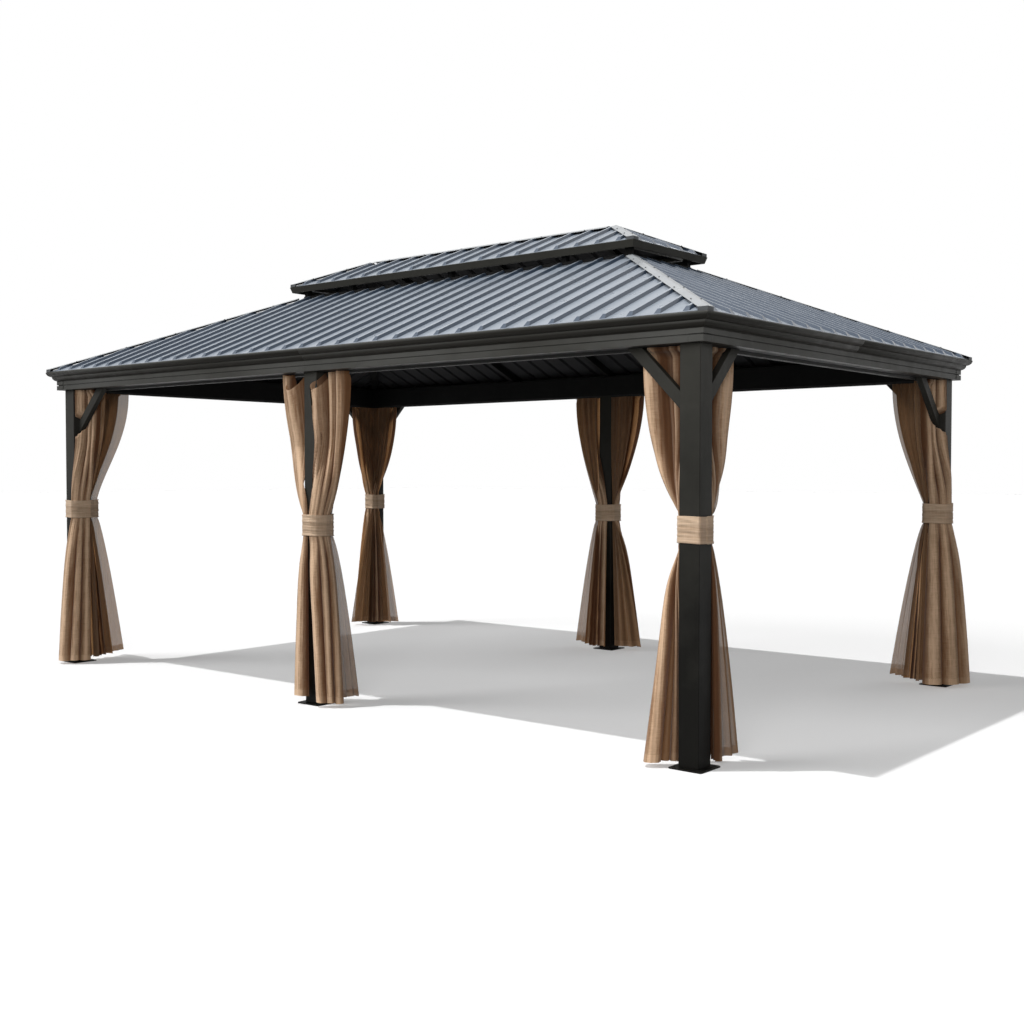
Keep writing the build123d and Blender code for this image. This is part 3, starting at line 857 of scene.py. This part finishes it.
def waves(t, z, counts, rng):
    """Sum of a few sines across a sheet, each drifting a little with height."""
    total = 0
    for count in counts:
        slip, drift = rng.uniform(*wave_slip), rng.uniform(*wave_drift)
        total = total + np.sin(2 * math.pi * count * t + slip + drift * z) / len(counts)
    return total


def ripples_of(t, z, tie, high, rng, headed):
    """Small folds: at the tie-back, at the header and all over the sheet."""
    near_tie = np.exp(-(((z - sum(tie) / 2) / tie_fade) ** 2))
    header = ease((z - (top_z - header_fade)) / header_fade)
    ripples = tie_ripple * near_tie * waves(t, z, tie_waves, rng)
    ripples = ripples + header_ripple * header * waves(t, z, header_waves, rng)
    ripples = ripples + broad_ripple * waves(t, z, broad_waves, rng)
    if headed:
        ripples = ripples + (fine_ripple + free_ripple * high) * waves(t, z, fine_waves, rng)
    return ripples


def sheet_points(drape, depth, rng, tie, braced, headed):
    """A gathered sheet, row by row from the hem: along, out and height of its points, how far each stands
    out of the hollows between folds and how near to a fold's edge, for the painted shade and painted
    highlight."""
    z = sheet_heights(header_top if headed else top_z)[:, None]
    t = np.linspace(0, 1, fabric_columns if headed else net_columns)[None, :]
    spine, way, side, length = spine_of(drape, z, t, tie)

    count = len(drape.lobes)
    shares = np.array(drape.lobes) * rng.uniform(1 - lobe_jitter, 1 + lobe_jitter, count)
    edges = np.concatenate(([0], np.cumsum(shares / shares.sum())))
    wander = wander_size * np.sin(wander_pace * z + rng.uniform(*wave_slip)) * np.sin(math.pi * t)
    where = np.clip(t + wander, 0, 1)
    lobe = np.clip(np.searchsorted(edges, where, side="right") - 1, 0, count - 1)
    width = np.diff(edges)[lobe]
    u = (where - edges[lobe]) / width
    strength = (np.array(drape.deep) * rng.uniform(1 - deep_jitter, 1 + deep_jitter, count))[lobe]
    high = ease((z - tie[1]) / (free_share * (top_z - tie[1])))
    lean = np.array(drape.lean)[lobe] * high
    u = np.clip(u, 0, 1) ** (math.log(0.5) / np.log(0.5 + lobe_skew * lean))
    heights = (hem_z, *below_tie, *tie, *above_tie, top_z)
    deep = smooth_curve(z, heights, depth) * strength
    if headed:
        bulge = np.clip(np.sin(math.pi * u), 0, 1) ** lobe_round
        pinch = -width * length * np.sin(2 * math.pi * u) / (2 * math.pi)
    else:
        bulge = (1 - np.cos(2 * math.pi * u)) / 2
        pinch = 0

    move = deep * bulge + ripples_of(t, z, tie, high, rng, headed)
    shift = pinch + lean_shift * lean * deep * bulge
    places = spine + side * move[..., None] + way * shift[..., None]
    along, out = clear_of_post(places[..., 0], places[..., 1])
    free = np.ones_like(along)
    if braced:
        along, out, free = behind_brace(along, out, z)

    droop = np.array(drape.droop)[lobe] * bulge**droop_round
    height = z - droop * np.clip((z - droop_start) / (top_z - droop_start), 0, 1) ** 2
    if headed:
        forward = free * ease((height - (top_z - header_height)) / header_height)
        puffed = rail_front + puff_share * deep * bulge
        out = np.where(out < puffed, out + (puffed - out) * forward, out)
        height = np.minimum(height, top_z + (header_top - top_z) * free)
    uneven = drape.lift + rng.uniform(-hem_jitter, hem_jitter, count)[lobe] * bulge
    height = height + uneven * np.clip((tie[0] - z) / (tie[0] - hem_z), 0, 1)

    # Painted shade deep in each recess between the folds, and a painted highlight along each fold's crest
    stands = deep * bulge**shade_reach
    most = stands.max(axis=1, keepdims=True)
    painted_shade_share = np.clip(1 - stands / (shade_start * most), 0, 1) * np.clip(most / shade_depth, 0, 1)
    edge = np.exp(-(((u - 0.5) / fold_highlight_width) ** 2))
    return along, out, height, 1 - painted_shade_share, edge


def hang_sheet(name, post, ways, places, shader):
    """Mesh of a sheet at its post, with layers for its weave and for the painted shade and highlight of
    its folds.
    """
    along, out, height, fold, edge = places
    along_way, out_way = np.array(ways)
    plan = post_centre(post) + along[..., None] * along_way + out[..., None] * out_way
    points = np.concatenate((plan, height[..., None]), axis=2)
    steps = np.linalg.norm(np.diff(points, axis=1), axis=2).sum(axis=1)
    flat = (round(float(steps.mean()) / gather_share, 2), round(float(height.max() - height.min()), 2))
    piece = new_piece(name, points.reshape(-1, 3), grid_faces(*along.shape), shader, "curtain_fabric")
    u = np.broadcast_to(np.linspace(0, flat[0], along.shape[1])[None, :], along.shape)
    row_heights = height.mean(axis=1)
    v = np.broadcast_to((row_heights - row_heights[0])[:, None], along.shape)
    lay_cloth(piece, u, v)
    lay_cloth(piece, fold, edge, "fold")
    return piece


waists = {}
for number, post in enumerate(posts):
    waists[post] = []
    braced = post in corners
    plain = fabric if braced else middle_fabric
    tie = tie_span(post)
    for turn, (wing, *ways) in enumerate(wings_of(post)):
        rng = np.random.default_rng(sheet_seed + seed_step * number + turn)
        cloth, sheer = drapes.get((post, wing), (plain, net))
        sheets = (
            ("fabric", cloth, corner_depth if braced else middle_depth, fabric_shader),
            ("net", sheer, net_depth, net_shader),
        )
        for kind, drape, depth, shader in sheets:
            places = sheet_points(drape, depth, rng, tie, braced, kind == "fabric")
            hang_sheet(f"curtain_{kind}_{post}_{wing}", post, ways, places, shader)
            tied = (places[2] > tie[0]) & (places[2] < tie[1])
            along_way, out_way = np.array(ways)
            waists[post].append(places[0][tied][:, None] * along_way + places[1][tied][:, None] * out_way)
    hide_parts(f"curtains_{post}")

# Tie-backs: a wide band drawn tight round each post and its curtains


def hull(points):
    """Convex outline of plan points, anticlockwise."""
    points = sorted(map(tuple, points))

    def half(run):
        line = []
        for p in run:
            while len(line) > 1 and (
                (line[-1][0] - line[-2][0]) * (p[1] - line[-2][1])
                <= (line[-1][1] - line[-2][1]) * (p[0] - line[-2][0])
            ):
                line.pop()
            line.append(p)
        return line[:-1]

    return np.array(half(points) + half(points[::-1]))


def even_loop(points, count):
    """The same closed line, with evenly spaced points."""
    closed = np.vstack((points, points[:1]))
    run = np.concatenate(([0], np.cumsum(np.linalg.norm(np.diff(closed, axis=0), axis=1))))
    where = np.linspace(0, run[-1], count, endpoint=False)
    return np.stack([np.interp(where, run, closed[:, k]) for k in (0, 1)], axis=1), run[-1]


band_columns = 240
band_rows = 30
band_gap = 0.0075
band_thickness = 0.002
band_flap = (0.50, 0.62)  # where the band's end laps over itself, as shares of its length
band_flap_lift = 0.0035
flap_edge = 0.008  # share of the length over which the lap rises
flap_flare = 0.0025
band_seed = 500
band_start = 1.0  # metres along the cloth, past any hem
corner_passes = 4  # of smoothing round the post's corners
band_creases = (3, 5, 8)  # to the band's height
band_crease = 0.0012
crease_swell = (0.55, 0.45)  # mean height of a crease along the band, and how far it varies
crease_turns = (1, 4)
crease_tilt = 1.6
band_roll = 0.0022  # how far the edges turn out
roll_share = 0.05  # of the band's height
band_sway = 0.0018


def make_band(post, number):
    """Creased band round a post and its curtains, with its end lapped over."""
    rng = np.random.default_rng(band_seed + number)
    tie_bottom, tie_top = tie_span(post)
    square = [(sx * post_half, sy * post_half) for sx in (-1, 1) for sy in (-1, 1)]
    line, length = even_loop(hull(np.vstack([square] + waists[post])), band_columns)
    for _ in range(corner_passes):
        line = (np.roll(line, 1, 0) + 2 * line + np.roll(line, -1, 0)) / 4
    way = np.roll(line, -1, 0) - np.roll(line, 1, 0)
    side = np.stack((way[:, 1], -way[:, 0]), axis=1)
    side /= np.linalg.norm(side, axis=1, keepdims=True)
    s = np.linspace(0, 1, band_columns, endpoint=False)[None, :]
    h = np.linspace(0, 1, band_rows)[:, None]
    out = np.full((band_rows, band_columns), band_gap)
    for count in band_creases:
        slip, turns = rng.uniform(*wave_slip), rng.integers(*crease_turns)
        swell = crease_swell[0] + crease_swell[1] * np.sin(2 * math.pi * turns * s + slip)
        tilt = crease_tilt * np.sin(2 * math.pi * s + slip)
        out = out + band_crease * swell * np.sin(2 * math.pi * count * h + tilt)
    edge = np.minimum(h, 1 - h)
    out = out + band_roll * np.exp(-((edge / roll_share) ** 2))
    flap = ease((s - band_flap[0]) / flap_edge) * ease((band_flap[1] - s) / flap_edge)
    out = out + band_flap_lift * flap
    height = tie_top - tie_bottom
    z = tie_bottom + height * h + band_sway * np.sin(4 * math.pi * s + rng.uniform(*wave_slip))
    z = z + flap_flare * flap * (2 * h - 1)
    plan = post_centre(post) + line[None] + side[None] * out[..., None]
    points = np.concatenate((plan, z[..., None]), axis=2).reshape(-1, 3)
    faces = grid_faces(band_rows, band_columns, True)
    band = new_piece(f"tie_back_{post}", points, faces, band_shader, "tie_back_fabric")
    across = np.broadcast_to(hem_band + h * height, out.shape)
    along = np.broadcast_to(band_start + s * length, out.shape)
    lay_cloth(band, across, along)
    solid = band.modifiers.new("cloth", "SOLIDIFY")
    solid.thickness = band_thickness
    return band


bands = [make_band(post, number) for number, post in enumerate(posts)]
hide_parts("tie_backs")

# Rings that carry each curtain on its rail

ring_reach = 0.0062
ring_wire = 0.0013
ring_count = 7
ring_sides = (20, 8)
ring_out = -0.046
ring_start = 0.075  # rings start no nearer than this to the post's middle
ring_inset = 0.012
straight_up = np.array([0.0, 0.0, 1.0])


def ring_points(centre, axis, up):
    """Points of a wire ring round an axis, turn by turn."""
    across = np.cross(axis, up)
    points = []
    for i in range(ring_sides[0]):
        turn = 2 * math.pi * i / ring_sides[0]
        spoke = math.cos(turn) * across + math.sin(turn) * up
        for j in range(ring_sides[1]):
            round_wire = 2 * math.pi * j / ring_sides[1]
            points.append(
                centre
                + (ring_reach + ring_wire * math.cos(round_wire)) * spoke
                + ring_wire * math.sin(round_wire) * axis
            )
    return points


def ring_faces(first):
    rounds, wires = ring_sides
    faces = []
    for i in range(rounds):
        for j in range(wires):
            k, m = (i + 1) % rounds, (j + 1) % wires
            faces.append([first + a * wires + b for a, b in ((i, j), (k, j), (k, m), (i, m))])
    return faces


ring_mesh = ([], [])
ring_z = rail_low.z - ring_reach + 2 * ring_wire
for post in posts:
    for wing, along_way, out_way in wings_of(post):
        cloth = drapes.get((post, wing), (fabric, net))[0]
        first = max(cloth.top[0][0], ring_start) + ring_inset
        last = cloth.top[2][0] - ring_inset
        for a in np.linspace(first, last, ring_count):
            plan = post_centre(post) + a * np.array(along_way) + ring_out * np.array(out_way)
            axis = np.array([*along_way, 0.0])
            ring_mesh[1].extend(ring_faces(len(ring_mesh[0])))
            ring_mesh[0].extend(ring_points(np.array([*plan, ring_z]), axis, straight_up))
new_piece("curtain_rings", *ring_mesh, rail_shader, "rail_aluminium")

# Washer-head screws along both edges of the hip and ridge caps

screw_step = 0.34
screw_inset = 0.026  # from the cap's fold
screw_profile = ((0.0068, -0.0004), (0.0068, 0.0008), (0.0060, 0.0013), (0.0046, 0.0014))
screw_head = ((0.0042, 0.0014), (0.0042, 0.0038), (0.0034, 0.0046))
screw_sides = 12
screw_end = 0.05  # bare length at each end of a hip
cast_height = 10.0
# Run of the lower hips in plan, along each side, from the eave to the upper plate
hip_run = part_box("hip_caps")[1].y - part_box("upper_plate")[1].y


def add_screw(mesh, place, normal):
    """A washer and a hexagonal head, turned onto a surface."""
    turn = normal.to_track_quat("Z", "Y")
    points, faces = mesh
    first = len(points)
    rows = screw_profile + screw_head
    for number, (reach, height) in enumerate(rows):
        for i in range(screw_sides):
            angle = 2 * math.pi * i / screw_sides
            flat = 1.0
            if number >= len(screw_profile) and i % 2:
                flat = math.cos(math.pi / 6)
            spot = Vector((reach * flat * math.cos(angle), reach * flat * math.sin(angle), height))
            points.append(place + turn @ spot)
    for face in grid_faces(len(rows), screw_sides, True):
        faces.append([first + k for k in face])
    faces.append([first + (len(rows) - 1) * screw_sides + i for i in range(screw_sides)])


def cap_tree(name):
    mesh = nodes[name].data
    return BVHTree.FromPolygons([v.co for v in mesh.vertices], [tuple(p.vertices) for p in mesh.polygons])


def screw_line(mesh, tree, start, way, length):
    """Screws on both sides of a fold, where a straight line down meets the cap."""
    side = Vector((-way.y, way.x, 0))
    count = max(int(length / screw_step), 2)
    for i in range(count):
        for hand in (-1, 1):
            spot = start + way * (length * (i + 0.5) / count) + side * hand * screw_inset
            place, normal, _, _ = tree.ray_cast(spot + Vector((0, 0, cast_height)), Vector((0, 0, -1)))
            if place:
                add_screw(mesh, place, normal)


screws = ([], [])
for name in ("hip_caps", "upper_hip_caps"):
    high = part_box(name)[1]
    tree = cap_tree(name)
    run = high.y if name == "upper_hip_caps" else hip_run
    length = run * math.sqrt(2) - 2 * screw_end
    for sx in (-1, 1):
        for sy in (-1, 1):
            corner = Vector((sx * high.x, sy * high.y, 0))
            way = Vector((-sx, -sy, 0)).normalized()
            screw_line(screws, tree, corner + way * screw_end, way, length)
low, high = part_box("ridge_cap")
screw_line(screws, cap_tree("ridge_cap"), Vector((low.x, 0, 0)), Vector((1, 0, 0)), high.x - low.x)
new_piece("cap_screws", *screws, cap_shader, "cap_steel", smooth=False)

# Studio: floor, light and camera

floor_mesh = bpy.data.meshes.new("floor")
half_floor = floor_side / 2
floor_mesh.from_pydata(
    [(sx * half_floor, sy * half_floor, 0) for sx, sy in ((-1, -1), (1, -1), (1, 1), (-1, 1))],
    [],
    [(0, 1, 2, 3)],
)
floor = bpy.data.objects.new("floor", floor_mesh)
bpy.context.scene.collection.objects.link(floor)


def seen(tree):
    """1 on rays that look at, mirror or see through to the surface, else 0."""
    path = tree.nodes.new("ShaderNodeLightPath")
    total = path.outputs["Is Camera Ray"]
    for kind in ("Is Glossy Ray", "Is Transmission Ray"):
        both = tree.nodes.new("ShaderNodeMath")
        both.operation = "MAXIMUM"
        tree.links.new(total, both.inputs[0])
        tree.links.new(path.outputs[kind], both.inputs[1])
        total = both.outputs["Value"]
    return total


floor_shader = Shader("floor")
floor_shader.set(Base_Color=(floor_bounce,) * 3 + (1,), Roughness=1.0, Specular_IOR_Level=0.0)
pale = floor_shader.node("ShaderNodeBsdfDiffuse", Color=(floor_seen,) * 3 + (1,)).outputs["BSDF"]
glow = floor_shader.node("ShaderNodeEmission", Strength=floor_glow).outputs["Emission"]
both = floor_shader.node("ShaderNodeAddShader")
floor_shader.put(both.inputs[0], pale)
floor_shader.put(both.inputs[1], glow)
plain_floor = floor_shader.surface.outputs["BSDF"]
floor_shader.finish(floor_shader.blend(seen(floor_shader.tree), plain_floor, both.outputs["Shader"]))
floor_mesh.materials.append(floor_shader.material)


def hang_lamp(lamp, travel):
    holder = bpy.data.objects.new(lamp.name, lamp)
    holder.rotation_mode = "QUATERNION"
    holder.rotation_quaternion = Vector(travel).to_track_quat("-Z", "Y")
    bpy.context.scene.collection.objects.link(holder)
    return holder


def add_sun(name, travel, strength, angle):
    lamp = bpy.data.lights.new(name, "SUN")
    lamp.energy = strength
    lamp.angle = math.radians(angle)
    hang_lamp(lamp, travel)


add_sun("key", key_travel, key_strength, key_angle)
add_sun("left_fill", left_travel, left_strength, left_angle)
add_sun("back_fill", back_travel, back_strength, back_angle)
soft_box = bpy.data.lights.new("front_fill", "AREA")
soft_box.size = lamp_side
soft_box.energy = lamp_watts
front_fill = hang_lamp(soft_box, Vector(lamp_aim) - Vector(lamp_place))
front_fill.location = lamp_place
front_fill.visible_camera = False

world = bpy.data.worlds.new("studio")
bpy.context.scene.world = world
world.use_nodes = True
tree = world.node_tree
backdrop = tree.nodes["Background"]
backdrop.inputs["Color"].default_value = (1, 1, 1, 1)
strength = tree.nodes.new("ShaderNodeMapRange")
strength.inputs["To Min"].default_value = world_strength
strength.inputs["To Max"].default_value = 1.0
tree.links.new(seen(tree), strength.inputs["Value"])
tree.links.new(strength.outputs["Result"], backdrop.inputs["Strength"])

lens = bpy.data.cameras.new("camera")
lens.sensor_width = sensor_mm
lens.lens = camera_focal_px / image_px * sensor_mm
lens.clip_end = camera_reach
camera = bpy.data.objects.new("camera", lens)
camera.location = camera_place
camera.rotation_euler = (math.radians(90 - camera_pitch), 0, math.radians(camera_yaw))
bpy.context.scene.collection.objects.link(camera)
bpy.context.scene.camera = camera
bpy.context.scene.view_settings.view_transform = "Standard"
